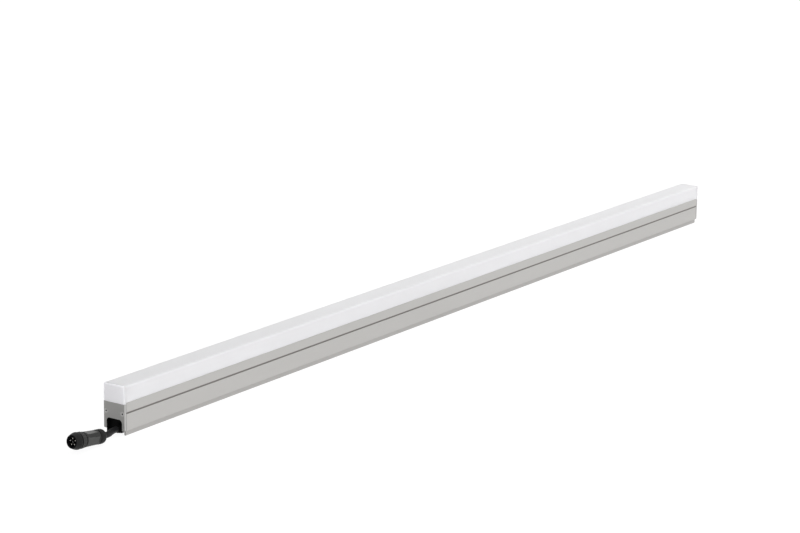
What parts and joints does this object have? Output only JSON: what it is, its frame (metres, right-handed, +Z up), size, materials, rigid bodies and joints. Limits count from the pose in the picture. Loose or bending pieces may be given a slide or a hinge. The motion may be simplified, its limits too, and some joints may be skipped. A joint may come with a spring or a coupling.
{
  "type": "outdoor wall washer light",
  "caption": "Slim linear outdoor light: grooved aluminium profile, opal square cover, grey end caps with cable cut-out, short black lead with a round screw plug.",
  "frame": {"origin": "middle of the bar's footprint, on the surface that its lips stand on", "axes": "+X along the bar, away from the end with the lead; +Y across it, away from the side that the picture shows; +Z up, towards the opal cover"},
  "size_m": [1.0613, 0.0262, 0.0427],
  "materials": {
    "anodised_aluminium": "fine matt anodised, drawn lengthways",
    "opal_plastic": "opal, satin",
    "cap_grey": "fine matt",
    "silicone": "matt",
    "stainless_steel": "bright",
    "black_rubber": "matt",
    "black_cable": "satin",
    "black_plastic": "satin moulded",
    "black_ring": "satin moulded",
    "black_insert": "matt moulded",
    "plated_brass": "nickel plated, bright",
    "thermal_pad": "matt",
    "board_white": "white solder resist",
    "light_package": "white package",
    "chip_black": "matt",
    "white_plastic": "satin",
    "core_insulation": "smooth"
  },
  "bodies": {
    "lamp": {"housing_profile": "anodised_aluminium", "opal_cover": "opal_plastic", "thermal_pad": "thermal_pad", "board_link": "white_plastic", "lead_boot": "black_rubber", "lead": "black_cable", "plug_body": "black_plastic", "contact_insert": "black_insert", "plug_contacts": "plated_brass", "plug_face_seal": "silicone", "near_cores": "core_insulation", "near_cover_end": "opal_plastic", "near_end_cap": "cap_grey", "near_end_gasket": "silicone", "near_cap_screws": "stainless_steel", "near_outlet_block": "black_rubber", "near_outlet_gasket": "silicone", "near_outlet_screw": "stainless_steel", "near_light_board": "board_white", "near_lights": "light_package", "near_driver_chips": "chip_black", "near_terminal": "white_plastic", "far_cover_end": "opal_plastic", "far_end_cap": "cap_grey", "far_end_gasket": "silicone", "far_cap_screws": "stainless_steel", "far_outlet_block": "black_rubber", "far_outlet_gasket": "silicone", "far_outlet_screw": "stainless_steel", "far_light_board": "board_white", "far_lights": "light_package", "far_driver_chips": "chip_black", "far_terminal": "white_plastic"},
    "ring": {"coupling_ring": "black_ring"}
  },
  "joints": [
    {"name": "ring_turn", "type": "hinge", "parent": "lamp", "child": "ring", "pos_m": [-0.55466, -0.008, 0.01004], "axis": [-0.9925, 0, 0.1219], "continuous": true}
  ]
}
